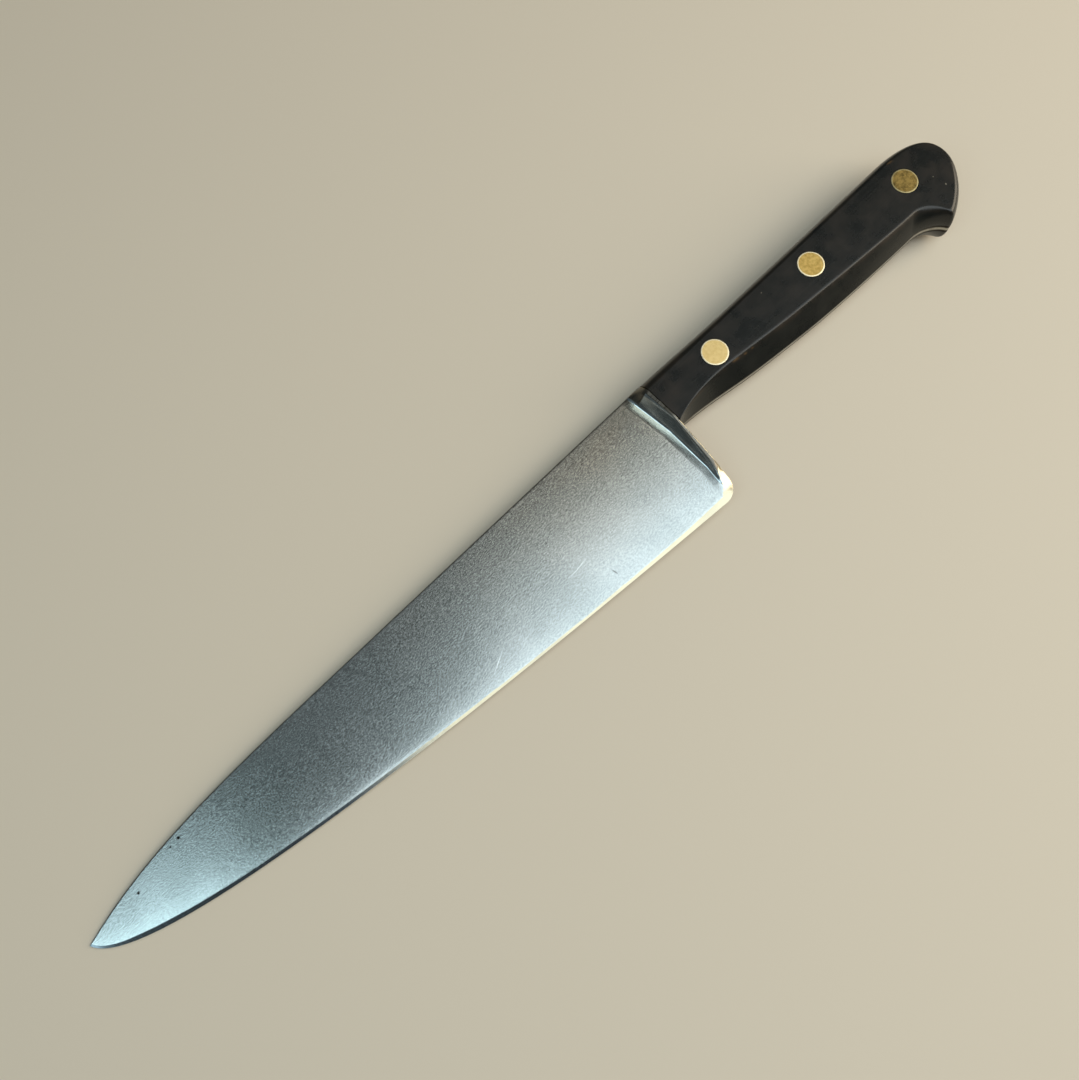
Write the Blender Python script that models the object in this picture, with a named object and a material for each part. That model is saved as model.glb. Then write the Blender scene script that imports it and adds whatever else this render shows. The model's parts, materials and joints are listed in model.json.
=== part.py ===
"""Chef knife of the old French pattern: one forging, two handle scales and three two-piece rivets.

The knife is drawn in its own axes: x runs from the tip (0) to the butt, y across the blade with the
spine at the top, and z through the thickness with the mid-plane at 0. An empty then lays the whole
knife down as it rests on a table, on the tip and the underside of the bolster.
"""
import math

import bmesh
import bpy
import numpy as np
from mathutils import Vector
from mathutils.geometry import interpolate_bezier

MM = 0.001

# Blade
BLADE_LENGTH = 202.4 * MM        # tip to the rear face of the bolster
SPINE_RISE = 7.7 * MM            # spine line above the tip
SPINE_CURVE_LENGTH = 108 * MM    # stretch of the spine that drops towards the tip
SPINE_CURVE_POWER = 4.6
EDGE_DROP = 33 * MM              # edge below the tip, at the heel
EDGE_CURVE_POWER = 0.42
EDGE_CURVE_START = 0.5 * MM      # moves the steepest part of the curve off the tip
HEEL_RADIUS = 5.5 * MM
HEEL_LEAN = 0.8 * MM             # the heel's back slants forward below the handle
SPINE_HALF_AT_HEEL = 1.7 * MM    # half thicknesses
EDGE_HALF = 0.1 * MM
TAPER_POWER = 0.45               # the spine thins quickly close to the tip
GRIND_POWER = 0.85               # 1 is a flat grind, less is convex

# Bolster and finger guard
BOLSTER_HALF = 6.4 * MM          # half thickness where the scales start
BOLSTER_LAND = 1.7 * MM          # flat rim between the front slope and the scales
GUARD_HALF_AT_HEEL = 0.7 * MM
GUARD_HALF_AT_BELLY = 5.9 * MM
BELLY_AT_BOLSTER = 8.4 * MM      # handle's belly below the tip, at the bolster
BOLSTER_ROUNDING = 3.2 * MM      # width of the rounding at the spine
BOLSTER_ROUNDING_POWER = 2
SLOPE_AT_SPINE = 3.4 * MM        # length of the front slope
SLOPE_AT_HEEL = 0.7 * MM
SLOPE_POWER = 1.6                # above 1 the slope starts as a hollow fillet

# Handle
TANG_HALF = 1.5 * MM
SCALE_ROUNDING_POWER = 2.6       # above 1 the scales round over towards their flat face
FACE_RISE = 0.9 * MM             # extra half thickness of the handle at the butt
BUTT_END = 319.8 * MM
TANG_INSIDE_BOLSTER = 3 * MM

# Handle outlines as knots of a smooth curve, in mm and degrees:
# x, y, heading, length of the handle before the knot, length of the handle after it.
TANG_OUTLINE = (
    (202.4, 7.4, 0, 0, 12),         # spine, at the bolster
    (236.0, 6.85, 0, 12, 22),       # middle of the spine
    (300.0, 6.8, 0, 22, 11),        # end of the straight spine
    (319.8, -4.0, -90, 8, 4),       # butt
    (315.1, -14.0, -133, 4, 4),     # back of the beak
    (304.7, -20.8, -160, 3.5, 0.5),   # beak
    (303.5, -20.4, 120, 0.5, 3),
    (293.5, -15.3, 180, 4.5, 10),   # belly in front of the beak
    (250.0, -13.75, 175, 12, 9),    # middle of the belly
    (224.0, -10.9, 171, 7, 7),
    (202.4, -8.4, 179, 8, 0),       # belly, at the bolster
)
FACE_OUTLINE = (
    (202.4, 5.4, 0, 0, 12),
    (236.0, 4.95, 0, 12, 22),
    (300.0, 4.9, 0, 22, 10),
    (318.4, -4.0, -90, 7, 3.5),
    (313.7, -12.8, -133, 3.5, 3),
    (305.0, -18.7, -158, 3, 0.5),
    (303.9, -18.0, 112, 0.5, 2.2),
    (296.0, -11.5, 180, 4, 10),
    (250.0, -8.7, 176, 12, 9),
    (224.0, -6.4, 176, 7, 7),
    (202.4, -5.6, 179, 7, 0),
)
FLAT_CHAMFER_KNOTS = (7, 8, 9, 10)  # knots where the side of a scale is a flat chamfer
OUTLINE_STEPS = 7                   # segments between two knots

# Rivets
RIVET_CENTRES = {"front": (223.7 * MM, -0.95 * MM), "middle": (262.9 * MM, -1.65 * MM),
                 "butt": (302.2 * MM, -2.95 * MM)}
RIVET_HEAD_RADIUS = 3.97 * MM
RIVET_HEAD_DEPTH = 2 * MM
RIVET_HEAD_RECESS = 0.05 * MM
TUBE_RADIUS = 2.5 * MM
TUBE_BORE_RADIUS = 1.9 * MM
TUBE_BORE_TOP = 3 * MM
TUBE_END = 3.4 * MM               # below the mid-plane
PIN_RADIUS = 1.6 * MM
PIN_END = 2.6 * MM                # above the mid-plane
RIVET_SEGMENTS = 40

GAP = 0.3 * MM                    # between pieces that touch on the real knife
CUT_MARGIN = 3 * MM               # how far a cutter runs past what it cuts
SMOOTH_ANGLE = math.radians(35)
WELD = 0.001 * MM

BLADE_COLUMNS = 28
GUARD_COLUMNS = 6
BLADE_ROWS = (0, 0.03, 0.09, 0.18, 0.3, 0.44, 0.58, 0.7, 0.8, 0.87, 0.92, 0.95, 0.97, 0.985, 1)
SCALE_LEVELS = (0, 0.25, 0.5, 0.7, 0.86, 1)


def make_material(name, colour, metallic, roughness):
    material = bpy.data.materials.new(name)
    material.use_nodes = True
    shader = material.node_tree.nodes["Principled BSDF"]
    shader.inputs["Base Color"].default_value = (*colour, 1)
    shader.inputs["Metallic"].default_value = metallic
    shader.inputs["Roughness"].default_value = roughness
    return material


def add_object(name, bm, material, parent):
    """Turn a bmesh into a named object with outward faces, smooth where its faces nearly align."""
    bmesh.ops.remove_doubles(bm, verts=bm.verts, dist=WELD)
    bmesh.ops.recalc_face_normals(bm, faces=bm.faces)
    mesh = bpy.data.meshes.new(name)
    bm.to_mesh(mesh)
    bm.free()
    mesh.materials.append(material)
    mesh.shade_smooth()
    mesh.set_sharp_from_angle(angle=SMOOTH_ANGLE)
    obj = bpy.data.objects.new(name, mesh)
    obj.parent = parent
    bpy.context.collection.objects.link(obj)
    return obj


def combine(target, tool, operation):
    """Join or cut the target with a hidden tool object."""
    tool.hide_render = True
    tool.display_type = "WIRE"
    modifier = target.modifiers.new(tool.name, "BOOLEAN")
    modifier.operation = operation
    modifier.solver = "EXACT"
    modifier.object = tool


def mix(low, high, amount):
    return low + (high - low) * amount


def spine_height(x):
    return SPINE_RISE * (1 - max(0.0, 1 - x / SPINE_CURVE_LENGTH) ** SPINE_CURVE_POWER)


def edge_height(x):
    """Cutting edge: a power curve that ends in a round heel corner."""
    def curve(distance):
        start = EDGE_CURVE_START ** EDGE_CURVE_POWER
        return (distance + EDGE_CURVE_START) ** EDGE_CURVE_POWER - start

    height = -EDGE_DROP * curve(x) / curve(BLADE_LENGTH)
    past_corner = x - (BLADE_LENGTH - HEEL_LEAN - HEEL_RADIUS)
    if past_corner > 0:
        height += HEEL_RADIUS - math.sqrt(max(0.0, HEEL_RADIUS ** 2 - past_corner ** 2))
    return height


def blade_half(x, row):
    """Half thickness of the ground blade: row is 0 at the edge and 1 at the spine."""
    spine_half = mix(EDGE_HALF, SPINE_HALF_AT_HEEL, (x / BLADE_LENGTH) ** TAPER_POWER)
    return mix(EDGE_HALF, spine_half, row ** GRIND_POWER)


def bolster_half(y):
    """Half thickness of the bolster's rim: full at the handle, thin at the heel, round at the spine."""
    taper = (y + EDGE_DROP) / (EDGE_DROP - BELLY_AT_BOLSTER)
    guard = mix(GUARD_HALF_AT_HEEL, GUARD_HALF_AT_BELLY, taper)
    inset = max(0.0, (SPINE_RISE - y) / BOLSTER_ROUNDING)
    rounded = mix(SPINE_HALF_AT_HEEL, BOLSTER_HALF, inset ** (1 / BOLSTER_ROUNDING_POWER))
    return min(BOLSTER_HALF, guard, rounded)


def blade_point(column, row):
    """Point on the left side of the blade: column is 0 at the tip, 1 at the slope and 2 at the ridge."""
    below_belly = (-BELLY_AT_BOLSTER - mix(-EDGE_DROP, SPINE_RISE, row)) / (EDGE_DROP - BELLY_AT_BOLSTER)
    rear = BLADE_LENGTH - HEEL_LEAN * max(0.0, below_belly)
    ridge = rear - BOLSTER_LAND
    run = mix(SLOPE_AT_HEEL, SLOPE_AT_SPINE, row)
    if column <= 1:
        x = column * (ridge - run)
    elif column <= 2:
        x = ridge - run * (2 - column)
    else:
        x = mix(ridge, rear, column - 2)
    y = mix(edge_height(x), spine_height(x), row)
    climb = min(max(column - 1, 0.0), 1.0) ** SLOPE_POWER
    return Vector((x, y, mix(blade_half(x, row), bolster_half(y), climb)))


def blade_columns():
    """Column positions, closer together at the tip and the heel."""
    blade = [0.5 - 0.5 * math.cos(math.pi * i / BLADE_COLUMNS) for i in range(BLADE_COLUMNS + 1)]
    slope = [1 + i / GUARD_COLUMNS for i in range(1, GUARD_COLUMNS + 1)]
    return blade + slope + [2.5, 3]


def blade_and_bolster():
    """Two mirrored sides of one height field, joined along the spine, the edge and the rear face."""
    bm = bmesh.new()
    columns = blade_columns()
    sides = []
    for side in (1, -1):
        grid = [[blade_point(column, row) for row in BLADE_ROWS] for column in columns]
        sides.append([[bm.verts.new((p.x, p.y, p.z * side)) for p in line] for line in grid])
    for grid in sides:
        for near, far in zip(grid, grid[1:]):
            for i in range(len(BLADE_ROWS) - 1):
                bm.faces.new((near[i], near[i + 1], far[i + 1], far[i]))
    left, right = sides
    rims = [([line[i] for line in left], [line[i] for line in right]) for i in (0, -1)]
    rims.append((left[-1], right[-1]))
    for upper, lower in rims:
        for i in range(len(upper) - 1):
            bm.faces.new((upper[i], upper[i + 1], lower[i + 1], lower[i]))
    return bm


def knot_handles(knot):
    x, y, heading, before, after = knot
    point = Vector((x, y, 0)) * MM
    direction = Vector((math.cos(math.radians(heading)), math.sin(math.radians(heading)), 0)) * MM
    return point, point - direction * before, point + direction * after


def smooth_outline(knots):
    """Points of the open curve through the knots, from the spine round the butt to the belly."""
    points = []
    for start, end in zip(knots, knots[1:]):
        first, _, leaving = knot_handles(start)
        last, arriving, _ = knot_handles(end)
        points += interpolate_bezier(first, leaving, arriving, last, OUTLINE_STEPS + 1)[:-1]
    points.append(knot_handles(knots[-1])[0])
    return points


def chamfer_share():
    """For each outline point, 1 where the side of the scale is flat and 0 where it is rounded."""
    count = (len(TANG_OUTLINE) - 1) * OUTLINE_STEPS + 1
    knots = [i / OUTLINE_STEPS for i in range(count)]
    flags = [1 if k in FLAT_CHAMFER_KNOTS else 0 for k in range(len(TANG_OUTLINE))]
    return np.interp(knots, range(len(flags)), flags)


def face_half(x):
    """Half thickness of the handle, from the bolster to the butt."""
    return BOLSTER_HALF + FACE_RISE * (x - BLADE_LENGTH) / (BUTT_END - BLADE_LENGTH)


def tang_body():
    bm = bmesh.new()
    outline = smooth_outline(TANG_OUTLINE)
    front = BLADE_LENGTH - TANG_INSIDE_BOLSTER
    corners = [Vector((front, outline[-1].y, 0)), Vector((front, outline[0].y, 0))]
    ring = [bm.verts.new((p.x, p.y, -TANG_HALF)) for p in outline + corners]
    base = bm.faces.new(ring)
    top = bmesh.ops.extrude_face_region(bm, geom=[base])["geom"]
    lifted = [item for item in top if isinstance(item, bmesh.types.BMVert)]
    bmesh.ops.translate(bm, verts=lifted, vec=(0, 0, 2 * TANG_HALF))
    return bm


def scale_body(side):
    """A scale lofted through rings that narrow from the tang outline to the flat face."""
    bm = bmesh.new()
    flat = chamfer_share()
    outer = smooth_outline(TANG_OUTLINE)
    inner = smooth_outline(FACE_OUTLINE)
    base_half = TANG_HALF + GAP
    rings = []
    for level in SCALE_LEVELS:
        ring = []
        for low, high, share in zip(outer, inner, flat):
            narrowing = mix(level ** SCALE_ROUNDING_POWER, level, share)
            x, y, _ = low.lerp(high, narrowing)
            x = max(x, BLADE_LENGTH + GAP)
            ring.append(bm.verts.new((x, y, side * mix(base_half, face_half(x), level))))
        rings.append(ring)
    for low, high in zip(rings, rings[1:]):
        for i in range(len(low)):
            j = (i + 1) % len(low)
            bm.faces.new((low[i], low[j], high[j], high[i]))
    bm.faces.new(rings[0])
    bm.faces.new(rings[-1])
    return bm


def turned_body(profile, centre, side=1):
    """Spin a closed (radius, height) profile round the rivet's own axis."""
    bm = bmesh.new()
    points = [bm.verts.new((centre[0] + r, centre[1], z * side)) for r, z in profile]
    edges = [bm.edges.new(pair) for pair in zip(points, points[1:])]
    bmesh.ops.spin(bm, geom=points + edges, cent=(*centre, 0), axis=(0, 0, 1),
                   angle=math.tau, steps=RIVET_SEGMENTS)
    return bm


def head_plane(bm, side):
    """Level the rivet's outer face with the scale's face, a hair below it."""
    top = max(abs(v.co.z) for v in bm.verts)
    for vert in bm.verts:
        if abs(vert.co.z) > top - WELD:
            vert.co.z = side * (face_half(vert.co.x) - RIVET_HEAD_RECESS)


def rivet_tube(centre):
    top = face_half(centre[0])
    under = top - RIVET_HEAD_DEPTH
    bm = turned_body(((0, top), (RIVET_HEAD_RADIUS, top), (RIVET_HEAD_RADIUS, under), (TUBE_RADIUS, under),
                      (TUBE_RADIUS, -TUBE_END), (TUBE_BORE_RADIUS, -TUBE_END),
                      (TUBE_BORE_RADIUS, TUBE_BORE_TOP), (0, TUBE_BORE_TOP)), centre)
    head_plane(bm, 1)
    return bm


def rivet_pin(centre):
    top = face_half(centre[0])
    under = top - RIVET_HEAD_DEPTH
    bm = turned_body(((0, top), (RIVET_HEAD_RADIUS, top), (RIVET_HEAD_RADIUS, under), (PIN_RADIUS, under),
                      (PIN_RADIUS, -PIN_END), (0, -PIN_END)), centre, side=-1)
    head_plane(bm, -1)
    return bm


def hole_cutter(centre, side):
    """Stepped hole for a rivet: a wide seat for the head and a narrow hole for the shank."""
    outside = face_half(centre[0]) + CUT_MARGIN
    seat = face_half(centre[0]) - RIVET_HEAD_DEPTH - GAP
    head = RIVET_HEAD_RADIUS + GAP
    shank = TUBE_RADIUS + GAP
    return turned_body(((0, outside), (head, outside), (head, seat), (shank, seat),
                        (shank, -CUT_MARGIN), (0, -CUT_MARGIN)), centre, side)


def tang_hole_cutter(centre):
    reach = TANG_HALF + CUT_MARGIN
    shank = TUBE_RADIUS + GAP
    return turned_body(((0, reach), (shank, reach), (shank, -reach), (0, -reach)), centre)


def lay_down(axes):
    """Tilt the knife onto its tip and bolster, and centre it over the origin."""
    ridge = BLADE_LENGTH - BOLSTER_LAND
    axes.rotation_euler.y = -math.asin((BOLSTER_HALF - EDGE_HALF) / ridge)
    bpy.context.view_layer.update()
    corners = [child.matrix_world @ vert.co for child in axes.children
               if not child.hide_render for vert in child.data.vertices]
    low = Vector([min(c[i] for c in corners) for i in range(3)])
    high = Vector([max(c[i] for c in corners) for i in range(3)])
    axes.location = (-(low.x + high.x) / 2, -(low.y + high.y) / 2, -low.z)
    bpy.context.view_layer.update()


def build():
    for obj in list(bpy.data.objects):
        bpy.data.objects.remove(obj)
    axes = bpy.data.objects.new("knife_axes", None)
    bpy.context.collection.objects.link(axes)
    steel = make_material("carbon_steel", (0.42, 0.44, 0.45), 1, 0.34)
    left_wood = make_material("ebonised_wood_left", (0.014, 0.015, 0.013), 0, 0.45)
    right_wood = make_material("ebonised_wood_right", (0.016, 0.014, 0.012), 0, 0.45)
    brass = make_material("brass_tube", (0.66, 0.5, 0.22), 1, 0.35)
    pin_brass = make_material("brass_pin", (0.6, 0.45, 0.2), 1, 0.38)

    blade = add_object("blade", blade_and_bolster(), steel, axes)
    combine(blade, add_object("tang_shape", tang_body(), steel, axes), "UNION")
    scales = {1: add_object("scale_left", scale_body(1), left_wood, axes),
              -1: add_object("scale_right", scale_body(-1), right_wood, axes)}
    for place, centre in RIVET_CENTRES.items():
        add_object("rivet_tube_" + place, rivet_tube(centre), brass, axes)
        add_object("rivet_pin_" + place, rivet_pin(centre), pin_brass, axes)
        tang_hole = add_object("tang_hole_" + place, tang_hole_cutter(centre), brass, axes)
        combine(blade, tang_hole, "DIFFERENCE")
        for side, scale in scales.items():
            name = "hole_" + place + ("_left" if side == 1 else "_right")
            combine(scale, add_object(name, hole_cutter(centre, side), brass, axes), "DIFFERENCE")
    lay_down(axes)


build()
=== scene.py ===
# %% [markdown]
# # A chef knife, piece by piece
# The knife is one steel forging (blade, bolster and tang in one piece), two wooden handle scales and
# three two-piece brass rivets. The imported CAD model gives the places. This lesson makes the fine
# surfaces around it: the ground and worn blade, the polished bolster, the cut edge, the blackened wood
# and the brass. Each step first says what the piece is and how it is made, and then makes it.

# %% The frame and the modules
import json
import math

import bmesh
import bpy
import numpy as np
from mathutils import Matrix, Quaternion, Vector
from mathutils.geometry import interpolate_bezier


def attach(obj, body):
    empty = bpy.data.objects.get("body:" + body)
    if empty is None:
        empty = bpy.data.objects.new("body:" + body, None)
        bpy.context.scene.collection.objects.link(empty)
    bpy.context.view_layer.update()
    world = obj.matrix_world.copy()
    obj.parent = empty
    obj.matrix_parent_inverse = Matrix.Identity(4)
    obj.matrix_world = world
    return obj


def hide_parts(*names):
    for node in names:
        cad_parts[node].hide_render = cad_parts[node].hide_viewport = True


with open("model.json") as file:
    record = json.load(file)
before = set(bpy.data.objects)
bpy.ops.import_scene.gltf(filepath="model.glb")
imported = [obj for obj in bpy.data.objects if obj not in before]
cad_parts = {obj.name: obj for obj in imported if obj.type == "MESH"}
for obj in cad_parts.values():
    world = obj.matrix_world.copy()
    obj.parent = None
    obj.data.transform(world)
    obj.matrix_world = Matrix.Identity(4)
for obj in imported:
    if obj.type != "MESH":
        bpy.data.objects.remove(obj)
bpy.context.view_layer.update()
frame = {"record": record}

# %% [markdown]
# ## The knife's own axes
# A knife is easiest to draw flat: x from the tip to the butt, y across the blade with the spine on top,
# z through the thickness. On the table it lies tilted, on the tip and the bolster, so the drawing has
# to be turned into the frame. The two handle faces are mounts in the record. They lean apart by the
# same angle, so the difference of their directions is the normal of the knife's mid-plane, and the
# place of one mount fixes the origin. Every mesh is drawn in millimetres in these axes.

# %% From knife axes to the frame
MM = 0.001
BLADE_LENGTH = 202.4
BUTT_END = 319.8
BOLSTER_HALF = 6.4
FACE_RISE = 0.9
LEFT_MOUNT_AT = (243.0, -2.0)


def face_half(x):
    """Half thickness of the handle, from the bolster to the butt."""
    return BOLSTER_HALF + FACE_RISE * (x - BLADE_LENGTH) / (BUTT_END - BLADE_LENGTH)


def find_axes():
    """The matrix from knife axes in metres to the frame."""
    mounts = {mount["name"]: mount for mount in frame["record"]["mounts"]}
    left = mounts["left_scale_face"]
    z_axis = (Vector(left["axis"]) - Vector(mounts["right_scale_face"]["axis"])).normalized()
    y_axis = Vector((0, 1, 0))
    x_axis = y_axis.cross(z_axis)
    turn = Matrix((x_axis, y_axis, z_axis)).transposed()
    drawn = Vector((*LEFT_MOUNT_AT, face_half(LEFT_MOUNT_AT[0]))) * MM
    return Matrix.Translation(Vector(left["pos_m"]) - turn @ drawn) @ turn.to_4x4()


knife_axes = find_axes()
drawing_board = bpy.data.objects.new("knife_axes", None)
bpy.context.collection.objects.link(drawing_board)
drawing_board.matrix_world = knife_axes
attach(drawing_board, "root")
print("tip of the knife in the frame, mm:", [round(c / MM, 2) for c in knife_axes.translation])

# %% [markdown]
# ## Colours and shader nodes
# Painters and web pages write a colour as a hex code, but a shader wants linear values, so one function
# turns the first into the second. Another adds a shader node with its settings and its links. An input
# is named or counted from 0: a Map Range has its value at 0 and its limits (from, from, to, to) at 1 to
# 4, a Math node its numbers at 0 to 2, and a colour Mix its share at 0 and its two colours at 6 and 7.
# Every material starts with a Principled shader and with coordinates in metres on the knife's axes, so
# that a pattern keeps its real size and runs with the blade.

# %% Colour and node helpers


def colour(hex_code):
    """Linear RGBA from an sRGB hex colour."""
    parts = [int(hex_code[i:i + 2], 16) / 255 for i in (1, 3, 5)]
    return (*(c / 12.92 if c <= 0.04045 else ((c + 0.055) / 1.055) ** 2.4 for c in parts), 1)


def add_node(tree, kind, settings=None, links=None):
    """Add a node. Settings name a property or an input socket, links name the input that is fed."""
    node = tree.nodes.new(kind)
    for name, value in (settings or {}).items():
        if isinstance(name, str) and hasattr(node, name):
            setattr(node, name, value)
        else:
            node.inputs[name].default_value = value
    for name, source in (links or {}).items():
        tree.links.new(source, node.inputs[name])
    return node


def new_material(name):
    """A material with its node tree, its Principled shader and coordinates on the knife's axes."""
    material = bpy.data.materials.new(name)
    material.use_nodes = True
    tree = material.node_tree
    place = add_node(tree, "ShaderNodeTexCoord", {"object": drawing_board}).outputs["Object"]
    return material, tree, tree.nodes["Principled BSDF"], place


print("middle grey in linear light:", round(colour("#808080")[0], 3))

# %% [markdown]
# ## Satin-ground carbon steel
# The blade is carbon steel, ground on a belt and then scrubbed by years of use. What the eye gets: a
# satin metal whose highlight is drawn out across the grinding lines, fine specks and short streaks that
# run along the blade, clouds of warm patina near the spine, and a few dark rust pits by the tip. Steel
# is metallic 1 with a grey of about 55%. A satin grind reads as a roughness near 0.35, and here the fine
# bumps give a part of that, so the shader itself gets about 0.2. The streaks are stretched noise: about
# 0.3 mm across and 0.6 mm long, several times coarser than real belt lines, which are too fine to show.

# %% Streaks and relief of the grind
STREAK_ACROSS = 0.33 * MM
STREAK_ALONG = 0.6 * MM
GRIND_LINE_WIDTH = 0.22 * MM
GRIND_LINE_LENGTH = 18 * MM
GRIND_LINE_SHARE = 0.35
RELIEF_HEIGHT = 0.021 * MM


def grind_streaks(tree, place):
    """Short streaks along the blade, as a value around 0.5."""
    stretched = add_node(tree, "ShaderNodeMapping",
                         {"Scale": (1 / STREAK_ALONG, 1 / STREAK_ACROSS, 1 / STREAK_ACROSS)},
                         {"Vector": place})
    noise = add_node(tree, "ShaderNodeTexNoise", {"Scale": 1, "Detail": 2, "Roughness": 0.6},
                     {"Vector": stretched.outputs[0]})
    return noise.outputs[0]


def grind_relief(tree, place, streaks, clouds):
    """Bumps from the streaks and from long fine lines, flatter where use has rubbed the steel smooth."""
    size = (1 / GRIND_LINE_LENGTH, 1 / GRIND_LINE_WIDTH, 1 / GRIND_LINE_WIDTH)
    lines = add_node(tree, "ShaderNodeMapping", {"Scale": size}, {"Vector": place})
    grind = add_node(tree, "ShaderNodeTexNoise", {"Scale": 1, "Detail": 2, "Roughness": 0.5},
                     {"Vector": lines.outputs[0]})
    height = add_node(tree, "ShaderNodeMath", {"operation": "MULTIPLY_ADD", 1: GRIND_LINE_SHARE},
                      {0: grind.outputs[0], 2: streaks})
    rubbed = add_node(tree, "ShaderNodeMapRange", {1: 0.4, 2: 0.6, 3: 0.6, 4: 1.15}, {0: clouds})
    relief = add_node(tree, "ShaderNodeMath", {"operation": "MULTIPLY"},
                      {0: height.outputs[0], 1: rubbed.outputs[0]})
    bump = add_node(tree, "ShaderNodeBump", {"Strength": 0.72, "Distance": RELIEF_HEIGHT},
                    {"Height": relief.outputs[0]})
    return bump.outputs[0]


print("streaks in mm:", round(STREAK_ALONG / MM, 2), "by", round(STREAK_ACROSS / MM, 2))

# %% [markdown]
# ## Patina
# Acids from food turn carbon steel grey, in soft clouds a few centimetres wide. Near the handle, on the
# spine side, where the stone seldom reaches, the grey turns warm and a little brown. So the base colour
# goes from a cool to a warm grey with the place on the blade, and the clouds and streaks darken it.

# %% Colour of the patina
PATINA_SIZE = 34 * MM
WARM_FROM_X, WARM_TO_X = 90 * MM, 195 * MM
WARM_FROM_Y, WARM_TO_Y = -26 * MM, 4 * MM
COOL_STEEL, WARM_STEEL, CLOUDED_STEEL = "#b8c0c1", "#b5a792", "#8c9594"


def patina_clouds(tree, place):
    noise = add_node(tree, "ShaderNodeTexNoise", {"Scale": 1 / PATINA_SIZE, "Detail": 3, "Roughness": 0.55},
                     {"Vector": place})
    return noise.outputs[0]


def patina_colour(tree, place, streaks, clouds):
    axes = add_node(tree, "ShaderNodeSeparateXYZ", links={"Vector": place})
    towards_heel = add_node(tree, "ShaderNodeMapRange", {1: WARM_FROM_X, 2: WARM_TO_X}, {0: axes.outputs[0]})
    towards_spine = add_node(tree, "ShaderNodeMapRange", {1: WARM_FROM_Y, 2: WARM_TO_Y}, {0: axes.outputs[1]})
    warm_place = add_node(tree, "ShaderNodeMath", {"operation": "MULTIPLY"},
                          {0: towards_heel.outputs[0], 1: towards_spine.outputs[0]})
    base = add_node(tree, "ShaderNodeMix", {"data_type": "RGBA", 6: colour(COOL_STEEL),
                                            7: colour(WARM_STEEL)}, {0: warm_place.outputs[0]})
    cloud_share = add_node(tree, "ShaderNodeMapRange", {1: 0.35, 2: 0.7, 3: 0, 4: 0.5}, {0: clouds})
    clouded = add_node(tree, "ShaderNodeMix", {"data_type": "RGBA", 7: colour(CLOUDED_STEEL)},
                       {0: cloud_share.outputs[0], 6: base.outputs[2]})
    streak_share = add_node(tree, "ShaderNodeMapRange", {1: 0.3, 2: 0.7, 3: 0.74, 4: 1.16}, {0: streaks})
    speckled = add_node(tree, "ShaderNodeVectorMath", {"operation": "SCALE"},
                        {0: clouded.outputs[2], "Scale": streak_share.outputs[0]})
    return speckled.outputs[0]


print("patina goes from", COOL_STEEL, "to", WARM_STEEL, "near the handle")

# %% [markdown]
# ## Marks of use
# A used knife also carries single marks at known places: a pit, a scratch, a chip. Each is drawn as an
# ellipse, given by its place, half length and half width in mm and its direction in degrees. The mask is
# 1 inside it and 0 outside, with a soft border, as the border of real wear is. The wood takes its marks
# from the same function.

# %% Masks for single marks
MARK_BORDER_OUTSIDE, MARK_BORDER_INSIDE = 1.1, 0.4


def marks_mask(tree, place, marks, level, reach):
    """1 inside any elliptical mark (x, y, half length, half width, direction), with soft borders.

    The marks lie at one level above the mid-plane, so they show on the left side only."""
    mask = None
    for x, y, half_length, half_width, direction in marks:
        inside = add_node(tree, "ShaderNodeMapping",
                          {"vector_type": "TEXTURE", "Location": (x * MM, y * MM, level * MM),
                           "Rotation": (0, 0, math.radians(direction)),
                           "Scale": (half_length * MM, half_width * MM, reach * MM)}, {"Vector": place})
        distance = add_node(tree, "ShaderNodeVectorMath", {"operation": "LENGTH"}, {0: inside.outputs[0]})
        spot = add_node(tree, "ShaderNodeMapRange", {1: MARK_BORDER_OUTSIDE, 2: MARK_BORDER_INSIDE},
                        {0: distance.outputs["Value"]})
        mask = spot if mask is None else add_node(tree, "ShaderNodeMath", {"operation": "MAXIMUM"},
                                                  {0: mask.outputs[0], 1: spot.outputs[0]})
    return mask.outputs[0]


print("a mark fades out between", MARK_BORDER_INSIDE, "and", MARK_BORDER_OUTSIDE, "of its half size")

# %% The satin steel of the blade
PITS = ((32.3, 4.4, 0.55, 0.45, 0), (29.4, 4.1, 0.45, 0.25, 30), (16.6, 1.2, 0.5, 0.44, 60),
        (160.2, -24.6, 1.3, 0.16, 100), (152.5, -6.2, 0.5, 0.14, 20))
SCRATCHES = ((120.8, -20.2, 4.6, 0.09, 27), (154.0, -17.0, 4.6, 0.075, 6))
SIDE_LEVEL = 0.8
SIDE_REACH = 1.2


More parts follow.
